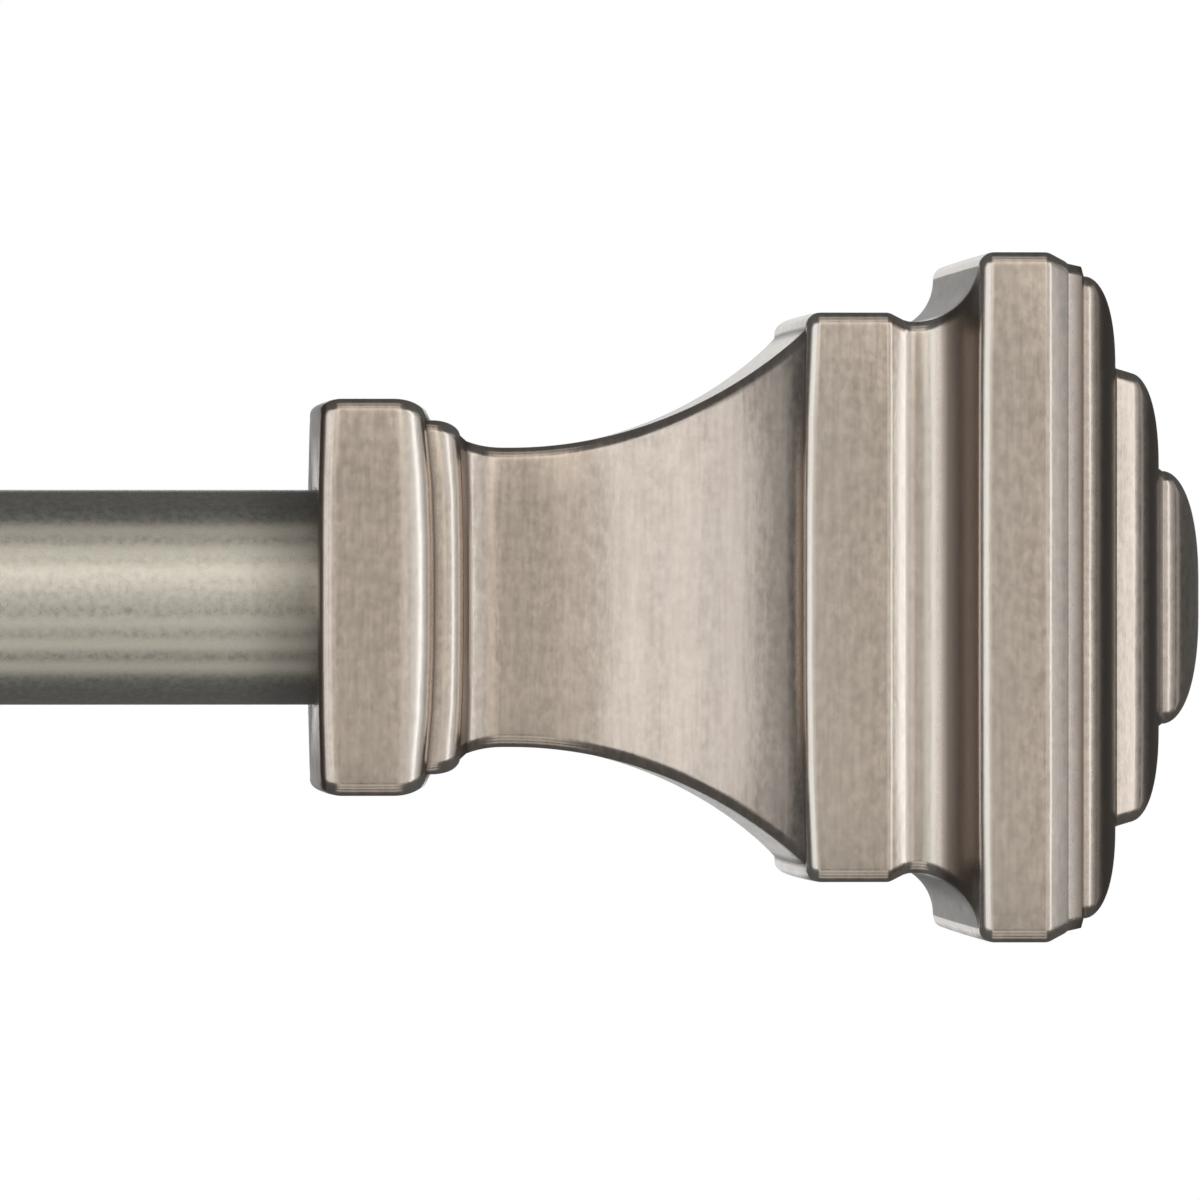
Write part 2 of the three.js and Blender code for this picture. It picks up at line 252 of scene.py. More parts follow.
def bevelled_plate(name, loops, low, high, bevel, matrix, steps=3):
    """A flat piece from low to high. The first loop, anticlockwise, is its outline; the rest are holes."""
    levels = []
    for k in range(steps + 1):
        a = math.pi / 2 * k / steps
        levels.append((low + bevel * (1 - math.cos(a)), bevel * (1 - math.sin(a))))
    levels += [(low + high - level, distance) for level, distance in reversed(levels)]
    verts, faces, rings = [], [], []
    for level, distance in levels:
        rings.append([])
        for loop in loops:
            points = inset(loop, distance)
            rings[-1].append(range(len(verts), len(verts) + len(points)))
            verts += [(p.x, p.y, level) for p in points]
    for lower, upper in zip(rings, rings[1:]):
        for a, b in zip(lower, upper):
            faces += [(a[i - 1], a[i], b[i], b[i - 1]) for i in range(len(a))]
    for ring in (rings[0], rings[-1]):
        index = [i for loop in ring for i in loop]
        corners = [[Vector(verts[i]) for i in loop] for loop in ring]
        faces += [[index[i] for i in face] for face in tessellate_polygon(corners)]
    return mesh_object(name, verts, faces, matrix)


def circle(cx, cy, r, count=48):
    """A clockwise circle, which is a hole in a plate."""
    return arc(cx, cy, r, r, 360, 360 / count, count - 1)


def rounded_rectangle(width, height, r, steps=8):
    x, y = width / 2 - r, height / 2 - r
    corners = [(x, -y, -90), (x, y, 0), (-x, y, 90), (-x, -y, 180)]
    return [p for cx, cy, a in corners for p in arc(cx, cy, r, r, a, a + 90, steps)]


def apply_modifiers(obj):
    shaped = obj.evaluated_get(bpy.context.evaluated_depsgraph_get())
    mesh = bpy.data.meshes.new_from_object(shaped)
    obj.modifiers.clear()
    obj.data = mesh


def combine(obj, tool, operation="DIFFERENCE"):
    """Cuts tool out of obj, or joins it on with UNION."""
    modifier = obj.modifiers.new("combine", "BOOLEAN")
    modifier.object = tool
    modifier.operation = operation
    modifier.solver = "EXACT"
    apply_modifiers(obj)
    bpy.data.objects.remove(tool)
    return obj


# ---- Materials -----------------------------------------------------------------------------------

class Shader:
    """A material with short calls for its nodes."""

    def __init__(self, name, metallic=0.0, **values):
        self.material = bpy.data.materials.new(name)
        self.material.use_nodes = True
        self.tree = self.material.node_tree
        self.surface = self.tree.nodes["Principled BSDF"]
        self.surface.inputs["Metallic"].default_value = metallic
        for socket, value in values.items():
            self.surface.inputs[socket.replace("_", " ")].default_value = value
        self.where = self.add("ShaderNodeTexCoord")

    def add(self, kind, **settings):
        node = self.tree.nodes.new(kind)
        for key, value in settings.items():
            setattr(node, key, value)
        return node

    def link(self, source, target):
        self.tree.links.new(source, target)

    def noise(self, scale, stretch=(1, 1, 1), detail=4.0, roughness=0.55):
        """Fractal noise with scale features to a metre, denser along the axes that stretch says."""
        mapping = self.add("ShaderNodeMapping")
        mapping.inputs["Scale"].default_value = stretch
        texture = self.add("ShaderNodeTexNoise")
        texture.inputs["Scale"].default_value = scale
        texture.inputs["Detail"].default_value = detail
        texture.inputs["Roughness"].default_value = roughness
        self.link(self.where.outputs["Object"], mapping.inputs["Vector"])
        self.link(mapping.outputs["Vector"], texture.inputs["Vector"])
        return texture.outputs["Fac"]

    def ramp(self, factor, low, high, start=0.0, end=1.0):
        """A factor from 0 to 1 turned into a value from start to end."""
        node = self.add("ShaderNodeMapRange")
        node.inputs["From Min"].default_value = low
        node.inputs["From Max"].default_value = high
        node.inputs["To Min"].default_value = start
        node.inputs["To Max"].default_value = end
        self.link(factor, node.inputs["Value"])
        return node.outputs["Result"]

    def math(self, operation, first, second):
        node = self.add("ShaderNodeMath", operation=operation)
        for value, socket in zip((first, second), node.inputs):
            if isinstance(value, (int, float)):
                socket.default_value = value
            else:
                self.link(value, socket)
        return node.outputs["Value"]

    def mix(self, factor, first, second):
        """Two colours or colour sockets mixed by a factor."""
        node = self.add("ShaderNodeMix", data_type="RGBA")
        factor_in, first_in, second_in = node.inputs[0], node.inputs[6], node.inputs[7]
        for value, socket in ((factor, factor_in), (first, first_in), (second, second_in)):
            if isinstance(value, tuple):
                socket.default_value = (*value, 1.0)
            else:
                self.link(value, socket)
        return node.outputs[2]

    def facing(self, axis):
        """How far the surface faces along a local axis, from 0 to 1."""
        parts = self.add("ShaderNodeSeparateXYZ")
        self.link(self.where.outputs["Normal"], parts.inputs["Vector"])
        return self.math("ABSOLUTE", parts.outputs[axis], 0.0)

    def attribute(self, name):
        return self.add("ShaderNodeAttribute", attribute_name=name).outputs["Fac"]

    def bump(self, height, strength, distance):
        node = self.add("ShaderNodeBump")
        node.inputs["Strength"].default_value = strength
        node.inputs["Distance"].default_value = distance
        self.link(height, node.inputs["Height"])
        last = self.surface.inputs["Normal"]
        if last.is_linked:
            self.link(last.links[0].from_socket, node.inputs["Normal"])
        self.link(node.outputs["Normal"], last)


def blended(shader, factor, first, second):
    """first where factor is 0 and second where it is 1."""
    keep = shader.math("MULTIPLY", first, shader.math("SUBTRACT", 1.0, factor))
    return shader.math("ADD", keep, shader.math("MULTIPLY", second, factor))


def finial_pewter():
    """Brushed pewter: streaks across the length, a granular mottle, painted shade with a little patina in
    the grooves and recesses, and rounded edges lightened partly as wear and partly as painted highlight.
    """
    s = Shader("finial_pewter", metallic=1.0)
    on_end = s.ramp(s.facing("X"), 0.75, 0.9)
    across = s.noise(2400, (1.0, 0.08, 0.08), detail=3.0)
    endwise = s.noise(2400, (0.08, 1.0, 0.08), detail=3.0)
    streak = blended(s, on_end, across, endwise)
    mottle = s.noise(1500, (1.0, 0.7, 0.7), detail=3.0, roughness=0.6)
    cloud = s.noise(90, detail=2.0)
    tone = s.math("ADD", s.math("MULTIPLY", streak, 0.4), s.math("MULTIPLY", mottle, 0.6))
    colour = s.mix(s.ramp(tone, 0.36, 0.64), (0.59, 0.51, 0.445), (0.77, 0.68, 0.60))
    colour = s.mix(s.ramp(cloud, 0.35, 0.7, 0.0, 0.2), colour, (0.64, 0.575, 0.52))
    # Painted shade, with a little patina: the colour darkens in the grooves and recesses, where shade
    # falls.
    painted_shade = s.attribute("painted_shade")
    colour = s.mix(s.math("MULTIPLY", painted_shade, 0.9), colour, (0.20, 0.16, 0.13))
    # Rounded edges lightened, partly as rubbed wear and partly as a painted highlight.
    edge = s.attribute("edge")
    colour = s.mix(s.math("MULTIPLY", edge, 0.7), colour, (0.90, 0.86, 0.80))
    s.link(colour, s.surface.inputs["Base Color"])
    rough = s.math("ADD", s.ramp(mottle, 0.3, 0.7, 0.19, 0.27), s.math("MULTIPLY", painted_shade, 0.12))
    s.link(rough, s.surface.inputs["Roughness"])
    s.bump(streak, 0.18, 0.00003)
    s.bump(mottle, 0.22, 0.00004)
    return s.material


def rod_pewter():
    """Satin metallic lacquer on tube: fine flakes and a faint draw line along the tube."""
    s = Shader("rod_pewter", metallic=1.0, Coat_Weight=0.15, Coat_Roughness=0.3)
    flake = s.noise(1900, detail=2.0, roughness=0.55)
    drawn = s.noise(500, (0.01, 1.0, 1.0), detail=3.0)
    cloud = s.noise(45, detail=2.0)
    tone = s.math("ADD", s.math("MULTIPLY", flake, 0.6), s.math("MULTIPLY", drawn, 0.4))
    colour = s.mix(s.ramp(tone, 0.38, 0.62), (0.72, 0.695, 0.63), (0.88, 0.85, 0.77))
    colour = s.mix(s.ramp(cloud, 0.4, 0.7, 0.0, 0.25), colour, (0.76, 0.735, 0.68))
    # Painted shade: the rod darkens next to the collar, where the collar shades it.
    colour = s.mix(s.attribute("painted_shade"), colour, (0.16, 0.145, 0.125))
    s.link(colour, s.surface.inputs["Base Color"])
    s.link(s.ramp(flake, 0.3, 0.7, 0.25, 0.33), s.surface.inputs["Roughness"])
    s.bump(flake, 0.05, 0.00002)
    s.bump(drawn, 0.08, 0.00003)
    return s.material


def bracket_pewter():
    """Lacquered steel bracket: the rod's colour a little warmer, with a faint orange peel."""
    s = Shader("bracket_pewter", metallic=1.0, Coat_Weight=0.15, Coat_Roughness=0.3)
    flake = s.noise(2200, detail=2.0, roughness=0.6)
    peel = s.noise(380, detail=2.0)
    cloud = s.noise(60, detail=3.0)
    colour = s.mix(s.ramp(flake, 0.38, 0.62), (0.46, 0.41, 0.36), (0.58, 0.525, 0.465))
    colour = s.mix(s.ramp(cloud, 0.4, 0.7, 0.0, 0.4), colour, (0.46, 0.42, 0.375))
    s.link(colour, s.surface.inputs["Base Color"])
    s.link(s.ramp(peel, 0.3, 0.7, 0.34, 0.45), s.surface.inputs["Roughness"])
    s.bump(flake, 0.10, 0.00002)
    s.bump(peel, 0.15, 0.00006)
    return s.material


def zinc_plate():
    """Bright zinc plate on a screw: cool and patchy, with fine turning marks."""
    s = Shader("zinc_plate", metallic=1.0)
    patch = s.noise(420, detail=4.0, roughness=0.65)
    marks = s.noise(3200, detail=1.0)
    colour = s.mix(s.ramp(patch, 0.35, 0.65), (0.55, 0.57, 0.60), (0.74, 0.75, 0.75))
    s.link(colour, s.surface.inputs["Base Color"])
    s.link(s.ramp(patch, 0.3, 0.7, 0.22, 0.42), s.surface.inputs["Roughness"])
    s.bump(marks, 0.10, 0.00002)
    return s.material


def moulded(name, dark, light, roughness, scatter=0.0):
    """Moulded plastic with a fine spark-eroded grain and faint flow clouds."""
    s = Shader(name, Subsurface_Weight=scatter, Subsurface_Scale=0.001)
    grain = s.noise(3000, detail=3.0, roughness=0.6)
    flow = s.noise(160, (0.3, 1.0, 1.0), detail=3.0)
    colour = s.mix(s.ramp(flow, 0.35, 0.65), dark, light)
    s.link(colour, s.surface.inputs["Base Color"])
    s.link(s.ramp(grain, 0.3, 0.7, roughness - 0.06, roughness + 0.08), s.surface.inputs["Roughness"])
    s.bump(grain, 0.20, 0.00003)
    return s.material


MATERIALS = {
    "finial_pewter": finial_pewter(),
    "rod_pewter": rod_pewter(),
    "bracket_pewter": bracket_pewter(),
    "zinc_plate": zinc_plate(),
    "nylon": moulded("nylon", (0.74, 0.72, 0.65), (0.82, 0.80, 0.74), 0.42, scatter=0.2),
    "grey_plastic": moulded("grey_plastic", (0.24, 0.25, 0.27), (0.32, 0.33, 0.35), 0.5),
}


def stand_for(obj, node, angle=32.0):
    """obj takes a CAD node's place: its body, its slot and that slot's material."""
    smooth(obj, angle)
    if NODE_SLOT[node] == "bracket_pewter":
        obj.modifiers.new("flatten", "WEIGHTED_NORMAL").keep_sharp = True
        apply_modifiers(obj)
    obj.data.materials.clear()
    obj.data.materials.append(MATERIALS[NODE_SLOT[node]])
    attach(obj, NODE_BODY[node])
    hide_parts(node)
    return obj


# ---- Finials -------------------------------------------------------------------------------------

FACING = {"right": (1, 0, 0), "left": (-1, 0, 0)}
MITRE_R = 1.0  # rounding of the finial's four mitred corners

# Where a casting's long edges bow: place along the finial, reach, and how far at mid width.
BOWS = [(0.8, 1.5, -0.25), (8.2, 2.2, 0.7), (35.65, 0.9, -0.45), (47.9, 0.8, -0.15)]

# Grooves and recesses darkened by painted shade, with a little patina: where it starts, where it is full,
# and the groove's end.
PAINTED_SHADE_BANDS = [
    (-0.6, 0.1, 0.4),  # collar's face, round the rod
    (7.45, 7.68, 7.72),  # both sides of the bead
    (10.15, 10.2, 10.75),
    (34.6, 34.95, 35.14),  # the trumpet's end
    (44.6, 45.3, 47.39),  # the cove's flank
    (54.6, 54.8, 55.08),  # the domed steps
    (55.7, 56.5, 57.98),
    (60.0, 60.6, 61.9),
]

# Raised edges lightened, partly as polished wear and partly as painted highlight: place and reach.
WORN_AND_HIGHLIGHTED_EDGES = [(6.8, 0.7), (9.6, 0.6), (35.65, 0.5), (42.1, 0.5), (44.0, 0.6), (47.9, 0.5), (53.2, 0.6)]


def finial_outside():
    """Half widths of the square casting, from the collar face to the domed end."""
    return [
        (0.0, 12.0),
        *arc(1.6, 13.6, 1.6, 0.9, 180, 90, 10),  # collar
        *arc(5.3, 13.3, 2.2, 1.2, 90, 10, 10),
        (7.7, 12.95),  # bead
        *arc(8.0, 11.75, 2.2, 1.2, 90, 5, 10),
        *arc(13.4, 18.97, 8.0, 8.0, 250.3, 270, 6),  # the neck starts under the bead
        *arc(14.0, 41.47, 30.5, 30.5, 270, 313.8, 36),  # trumpet
        *arc(36.2, 19.75, 1.05, 0.95, 180, 90, 8),  # first ring
        *arc(40.9, 19.67, 1.03, 1.03, 90, 64, 8),
        (42.2, 20.18),
        (42.6, 20.07),
        *arc(43.1, 24.35, 4.3, 4.3, 270, 355, 16),  # cove
        *arc(48.5, 24.05, 1.1, 0.95, 180, 90, 8),  # widest ring
        *arc(52.1, 23.8, 1.2, 1.2, 90, 62, 8),
        (53.65, 24.36),
        (53.85, 24.2),
        (54.85, 23.98),
        *arc(55.1, 16.4, 2.75, 6.9, 90, 5, 18),  # three domed steps
        (58.0, 16.72),
        *arc(58.97, 8.9, 2.68, 7.5, 84.6, 5, 18),
        *arc(62.0, 0.0, 3.35, 9.3, 90, 0, 20),
    ]


def mitred_square(side_points=6, corner_steps=6):
    """A square section of half width h with slightly rounded mitres."""

    def section(h, x):
        r = min(MITRE_R, 0.45 * h)
        points = []
        for quarter in range(4):
            turn = math.pi / 2 * quarter
            corner = arc(h - r, h - r, r, r, 0, 90, corner_steps)
            side = [(h, y) for y in span(-(h - r), h - r, side_points)[1:-1]]
            for y, z in side + corner:
                c, s = math.cos(turn), math.sin(turn)
                points.append((y * c - z * s, y * s + z * c))
        return points

    return section


def add_finial(side):
    square = mitred_square()
    angles = [math.atan2(z, y) for y, z in square(13.0, 0.0)]

    def section(size, x):
        if size > 0.0 and x in inside_at:
            return [(size * math.cos(a), size * math.sin(a)) for a in angles]
        return square(size, x)

    # The recess and the pin's hole are round, from the deepest point out to the collar face.
    hole_end = SOCKET_DEPTH + PIN_HOLD + CLEAR
    inside = [
        (hole_end, 0.0),
        (hole_end - 0.001, PIN_R + SLIDE_GAP),
        (SOCKET_DEPTH + 0.3, PIN_R + SLIDE_GAP),
        (SOCKET_DEPTH + 0.001, PIN_R + SLIDE_GAP + 0.3),
        (SOCKET_DEPTH, SOCKET_R - 0.5),
        (SOCKET_DEPTH - 0.5, SOCKET_R),
        (0.35, SOCKET_R + 0.001),
        (0.1, SOCKET_R + 0.1),
        (0.0001, SOCKET_R + 0.35),
    ]
    inside_at = {x for x, _ in inside}
    obj = skin(
        f"{side}_finial_casting",
        inside + finial_outside(),
        section,
        place((COLLAR_X[side], AXIS.y, AXIS.z), FACING[side]),
    )
    bow_and_shade(obj, side)
    return stand_for(obj, f"{side}_finial_body", angle=24.0)


def bow_and_shade(obj, side):
    """Bows a finial's long edges, and writes at each of its points how much painted shade darkens it and
    how much its edge is lightened, as wear and painted highlight.
    """
    painted_shade = obj.data.attributes.new("painted_shade", "FLOAT", "POINT")
    edge = obj.data.attributes.new("edge", "FLOAT", "POINT")
    outward = FACING[side][0]
    for i, vertex in enumerate(obj.data.vertices):
        x = outward * (vertex.co.x - COLLAR_X[side]) / MM
        y, z = abs(vertex.co.y - AXIS.y) / MM, abs(vertex.co.z - AXIS.z) / MM
        half = max(y, z)
        if half < SOCKET_R + 0.5:
            continue
        middling = 1 - (min(y, z) / half) ** 3
        bow = sum(amount * math.exp(-(((x - at) / reach) ** 2)) for at, reach, amount in BOWS)
        vertex.co.x += outward * bow * middling * MM
        painted_shade.data[i].value = max(
            min(1.0, max(0.0, (x - start) / (full - start))) if x <= end else 0.0
            for start, full, end in PAINTED_SHADE_BANDS
        )
        edge.data[i].value = max(math.exp(-(((x - at) / reach) ** 2)) for at, reach in WORN_AND_HIGHLIGHTED_EDGES)


def add_finial_pin(side):
    end = SOCKET_DEPTH + PIN_HOLD
    start = end - PIN_LENGTH
    groove = 2.6
    profile = [
        (start, 0.0),
        (start, PIN_R - 0.8),
        *arc(start + 0.8, PIN_R - 0.8, 0.8, 0.8, 180, 90, 5),
        (start + 4.0, PIN_R),
        (start + 4.2, groove),
        (start + 5.4, groove),
        (start + 5.6, PIN_R),
        (end - 0.6, PIN_R),
        (end, PIN_R - 0.6),
        (end, 0.0),
    ]
    matrix = place((COLLAR_X[side], AXIS.y, AXIS.z), FACING[side])
    obj = skin(f"{side}_finial_pin_turned", profile, round_section(48), matrix)
    return stand_for(obj, f"{side}_finial_pin")


def span_of(node, x):
    """How far a node's ends are from x along the rod, in millimetres, the nearer first."""
    low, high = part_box(node)
    return sorted((abs(low.x - x) / MM, abs(high.x - x) / MM))


def add_reducer_ring():
    low, high = span_of("left_reducer_ring", COLLAR_X["left"])
    inner, outer, chamfer = INNER_R + SLIDE_GAP, SOCKET_R - SLIDE_GAP, 0.25
    profile = [
        (low, inner + chamfer),
        (low, outer - chamfer),
        (low + chamfer, outer),
        (high - chamfer, outer),
        (high, outer - chamfer),
        (high, inner + chamfer),
        (high - chamfer, inner),
        (low + chamfer, inner),
    ]
    matrix = place((COLLAR_X["left"], AXIS.y, AXIS.z), FACING["left"])
    obj = skin("left_reducer_moulding", profile, round_section(96), matrix, closed=True)
    return stand_for(obj, "left_reducer_ring")


def add_end_plug(side, tube_r):
    outside = SOCKET_DEPTH - SLIDE_GAP
    shoulder = outside - PLUG_FLANGE
    tip = shoulder - PLUG_LENGTH
    bore_r = tube_r - TUBE_WALL - SLIDE_GAP
    core_r = bore_r - 0.7
    hole_r = PIN_R + SLIDE_GAP
    fins = 8

    def relief(r, x, angle):
        if x > shoulder - 0.01 or r < core_r:
            return r
        fin = abs(math.cos(fins / 2 * angle)) ** 6
        return core_r + (r - core_r) * fin

    barbs = [
        point
        for x in span(tip + 2.0, shoulder - 6.0, 4)[:-1]
        for point in ((x, core_r + 0.25), (x + 3.6, bore_r))
    ]
    profile = [
        (tip, 0.0),
        (tip, core_r - 0.8),
        (tip + 0.8, core_r),
        *barbs,
        (shoulder - 5.0, bore_r),
        (shoulder - 0.02, bore_r),
        (shoulder, core_r),
        (shoulder, tube_r - 0.3),
        (shoulder + 0.3, tube_r),
        (outside - 0.3, tube_r),
        (outside, tube_r - 0.3),
        (outside, hole_r + 0.3),
        (outside - 0.3, hole_r),
        (tip + 2.0, hole_r - 0.01),
        (tip + 2.0, 0.0),
    ]
    matrix = place((COLLAR_X[side], AXIS.y, AXIS.z), FACING[side])
    obj = skin(f"{side}_plug_moulding", profile, round_section(96, relief), matrix)
    return stand_for(obj, f"{side}_end_plug")


# ---- Rod -----------------------------------------------------------------------------------------

SEAM_ANGLE = math.radians(-42)  # the rolled seam faces down and towards the wall
SHADE_REACH = 4.0  # how far from the collar the painted shade reaches, and over what distance it fades
SHADE_FADE = 1.8
SHADE_HALF = 0.27  # half of how dark the painted shade gets


def add_tube(node, radius, side):
    """A rolled steel tube with rounded ends, a fine closed seam and painted shade on the lacquer next to
    the collar.
    """
    low, high = (corner.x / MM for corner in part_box(node))
    bore = radius - TUBE_WALL
    rim = TUBE_WALL / 2

    def relief(r, x, angle):
        off = (angle - SEAM_ANGLE + math.pi) % (2 * math.pi) - math.pi
        seam = math.exp(-((off * radius / 0.22) ** 2))
        return r - 0.09 * seam if r > bore + 0.01 else r + 0.05 * seam

    profile = [
        *arc(low + rim, bore + rim, rim, rim, 270, 90, 8),
        *((x, radius) for x in span(low + 1.0, low + 30.0, 24)),
        *((x, radius) for x in span(low + 40.0, high - 40.0, 10)),
        *((x, radius) for x in span(high - 30.0, high - 1.0, 24)),
        *arc(high - rim, bore + rim, rim, rim, 90, -90, 8),
        *((x, bore) for x in span(high - 1.0, low + 1.0, 12)),
    ]
    section = round_section(144, relief)
    obj = skin(f"{node}_rolled", profile, section, place((0, AXIS.y, AXIS.z)), closed=True)
    # Painted shade on the rod next to the collar, written into each point.
    painted_shade = obj.data.attributes.new("painted_shade", "FLOAT", "POINT")
    for i, vertex in enumerate(obj.data.vertices):
        outside = FACING[side][0] * (COLLAR_X[side] - vertex.co.x) / MM
        painted_shade.data[i].value = SHADE_HALF * (1 - math.tanh((outside - SHADE_REACH) / SHADE_FADE))
    return stand_for(obj, node)


def add_bush():
    low, high = (corner.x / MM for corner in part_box("telescope_bush"))
    spigot = INNER_R - TUBE_WALL - SLIDE_GAP
    flange = OUTER_R - TUBE_WALL - SLIDE_GAP
    collar = high - 3.9
    profile = [
        (low, 0.0),
        (low, spigot - 1.0),
        *arc(low + 1.0, spigot - 1.0, 1.0, 1.0, 180, 90, 4),
        (collar - 3.0, spigot),
        (collar - 2.8, spigot - 0.3),
        (collar - 1.6, spigot - 0.3),
        (collar - 1.4, spigot),
        (collar, spigot),
        (collar, flange - 0.2),
        (collar + 0.2, flange),
        *arc(high - 0.8, flange - 0.8, 0.8, 0.8, 90, 0, 4),
        (high, 3.0),
        (high - 1.5, 2.6),
        (high - 1.5, 0.0),
    ]
    obj = skin("telescope_bush_moulding", profile, round_section(96), place((0, AXIS.y, AXIS.z)))
    return stand_for(obj, "telescope_bush")


# ---- Threads and screws --------------------------------------------------------------------------

def thread(start, end, pitch, depth, run_out=1.0):
    """A helical groove between two places along a shank, that fades out at both."""

    def relief(r, x, angle):
        if r < depth or not start < x < end:
            return r
        turn = (x / pitch - angle / (2 * math.pi)) % 1.0
        crest = min(1.0, 2.4 * abs(turn - 0.5))
        fade = min(1.0, (x - start) / run_out, (end - x) / run_out)
        return r - depth * (1 - crest) * fade

    return relief


def cross_tool(name, top, size, depth, matrix):
    """The driver's cross, tapering down from a screw head's top at local x = top."""
    wide, narrow, blade = size / 2, size / 3.4, size / 8
    arms = []
    for axes in ((0, 1), (1, 0)):
        verts = []
        for x, reach, half in ((top - 1.0, wide, blade), (top + depth, narrow, blade * 0.8)):
            for a, b in ((-reach, -half), (reach, -half), (reach, half), (-reach, half)):
                verts.append((x, a, b) if axes == (0, 1) else (x, b, a))
        sides = [(i, (i + 1) % 4, (i + 1) % 4 + 4, i + 4) for i in range(4)]
        faces = [(0, 1, 2, 3), (4, 5, 6, 7), *sides]
        arms.append(mesh_object(f"{name}_{axes[0]}", verts, faces, matrix))
    return combine(arms[0], arms[1], "UNION")


def add_screw(node, origin, axis, up, shank, head, rise, length, pitch, depth, point):
    """A round-headed cross-recess screw. The underside of its head is at origin. Its point is
    given as the radius of its tip and the length that tapers to it."""
    tip_r, tip_length = point
    dome = arc(0.0, 0.0, rise, head, 180, 100, 12)
    start = 1.2
    steps = int((length - start) / pitch * 8)
    body = [
        (x, tip_r + (shank - tip_r) * min(1.0, (length - x) / tip_length))
        for x in span(start, length, steps)
    ]
    profile = [
        *((x, r if i else 0.0) for i, (x, r) in enumerate(dome)),
        (-0.3 * rise, head),
        (-0.12, head),
        (0.0, head - 0.12),
        (0.0, shank + 0.25),
        (0.25, shank),
        *body,
        (length, 0.0),
    ]
    matrix = place(origin, axis, up)
    section = round_section(40, thread(start, length + 1.0, pitch, depth))
    obj = skin(f"{node}_turned", profile, section, matrix)
    combine(obj, cross_tool(node, -rise, 1.05 * head, 0.55 * rise, matrix))
    return stand_for(obj, node)


# ---- Brackets ------------------------------------------------------------------------------------

def add_wall_plate(side, matrix):
    """A pressed plate with dished screw holes, and a folded channel welded to it."""
    face = rounded_rectangle(PLATE_WIDTH, PLATE_HEIGHT, PLATE_CORNER)
    holes = [circle(0, z, HOLE_R) for z in (-HOLE_RISE, HOLE_RISE)]
    plate = bevelled_plate(f"{side}_wall_plate_pressed", [face, *holes], 0, PLATE_THICK, 0.45, matrix)
    inside = ARM_WIDTH / 2 + CLEAR
    outside = inside + CHANNEL_WALL
    floor = -ARM_THICK / 2 - CLEAR
    bend = 2.0
    u = [
        (-outside, CHANNEL_RISE),
        *arc(-outside + bend, floor - CHANNEL_WALL + bend, bend, bend, 180, 270, 8),
        *arc(outside - bend, floor - CHANNEL_WALL + bend, bend, bend, 270, 360, 8),
        (outside, CHANNEL_RISE),
        (inside, CHANNEL_RISE),
        *arc(inside - 0.4, floor + 0.4, 0.4, 0.4, 0, -90, 3),
        *arc(-inside + 0.4, floor + 0.4, 0.4, 0.4, -90, -180, 3),
        (-inside, CHANNEL_RISE),
    ]
    channel = bevelled_plate(f"{side}_channel", [u], PLATE_THICK / 2, CHANNEL_LENGTH, 0.25, matrix)
    drill = skin(
        f"{side}_drill",
        [(-9.0, 0.0), (-9.0, LOCK_HOLE_R), (-1.0, LOCK_HOLE_R), (-1.0, 0.0)],
        round_section(40),
        matrix @ Matrix.Translation((0, 0, -LOCK_Y)) @ rotation((0, 1, 0), (0, 0, 1)),
    )
    combine(channel, drill)
    combine(plate, channel, "UNION")
    weld = add_weld(side, matrix, outside, floor)
    combine(plate, weld, "UNION")
    return stand_for(plate, f"{side}_wall_plate")


def add_weld(side, matrix, outside, floor):
    """A small fillet where the channel's floor meets the plate."""
    z = floor - CHANNEL_WALL + 0.2
    y = PLATE_THICK - 0.2
    size = 2.0
    section = [(z, y), *arc(z - size, y + size, size, size, 270, 360, 6)]
    reach = outside - 2.2
    verts = [(x, v, w) for x in (-reach, reach) for v, w in section]
    n = len(section)
    faces = [tuple(range(n)), tuple(range(n, 2 * n))]
    faces += [(i, (i + 1) % n, (i + 1) % n + n, i + n) for i in range(n)]
    return mesh_object(f"{side}_weld", verts, faces, matrix)


def cradle_outline():
    """The arm seen from the rod's end: a bar that curls up into a U. The rod's axis is at 0, 0."""
    wall_middle = (SOCKET_R + CRADLE_OUT) / 2
    tip = CRADLE_WALL / 2
    bar_top = -CRADLE_OUT + ARM_THICK
    fillet = 4.0
    return [
        (ARM_LENGTH, bar_top),
        *arc(CRADLE_OUT + fillet, bar_top + fillet, fillet, fillet, 270, 180, 12),
        *arc(wall_middle, BACK_RISE, tip, tip, 0, 180, 12),
        *arc(0, 0, SOCKET_R, SOCKET_R, 360, 180, 48),
        *arc(-wall_middle, LIP_RISE, tip, tip, 0, 180, 12),
        *arc(0, 0, CRADLE_OUT, CRADLE_OUT, 180, 270, 32),
        (ARM_LENGTH, -CRADLE_OUT),
    ][::-1]


def stadium(half_length, r, steps=12):
    """A slot's outline, anticlockwise, long in its second direction."""
    reach = half_length - r
    return [*arc(0, reach, r, r, 0, 180, steps), *arc(0, -reach, r, r, 180, 360, steps)]


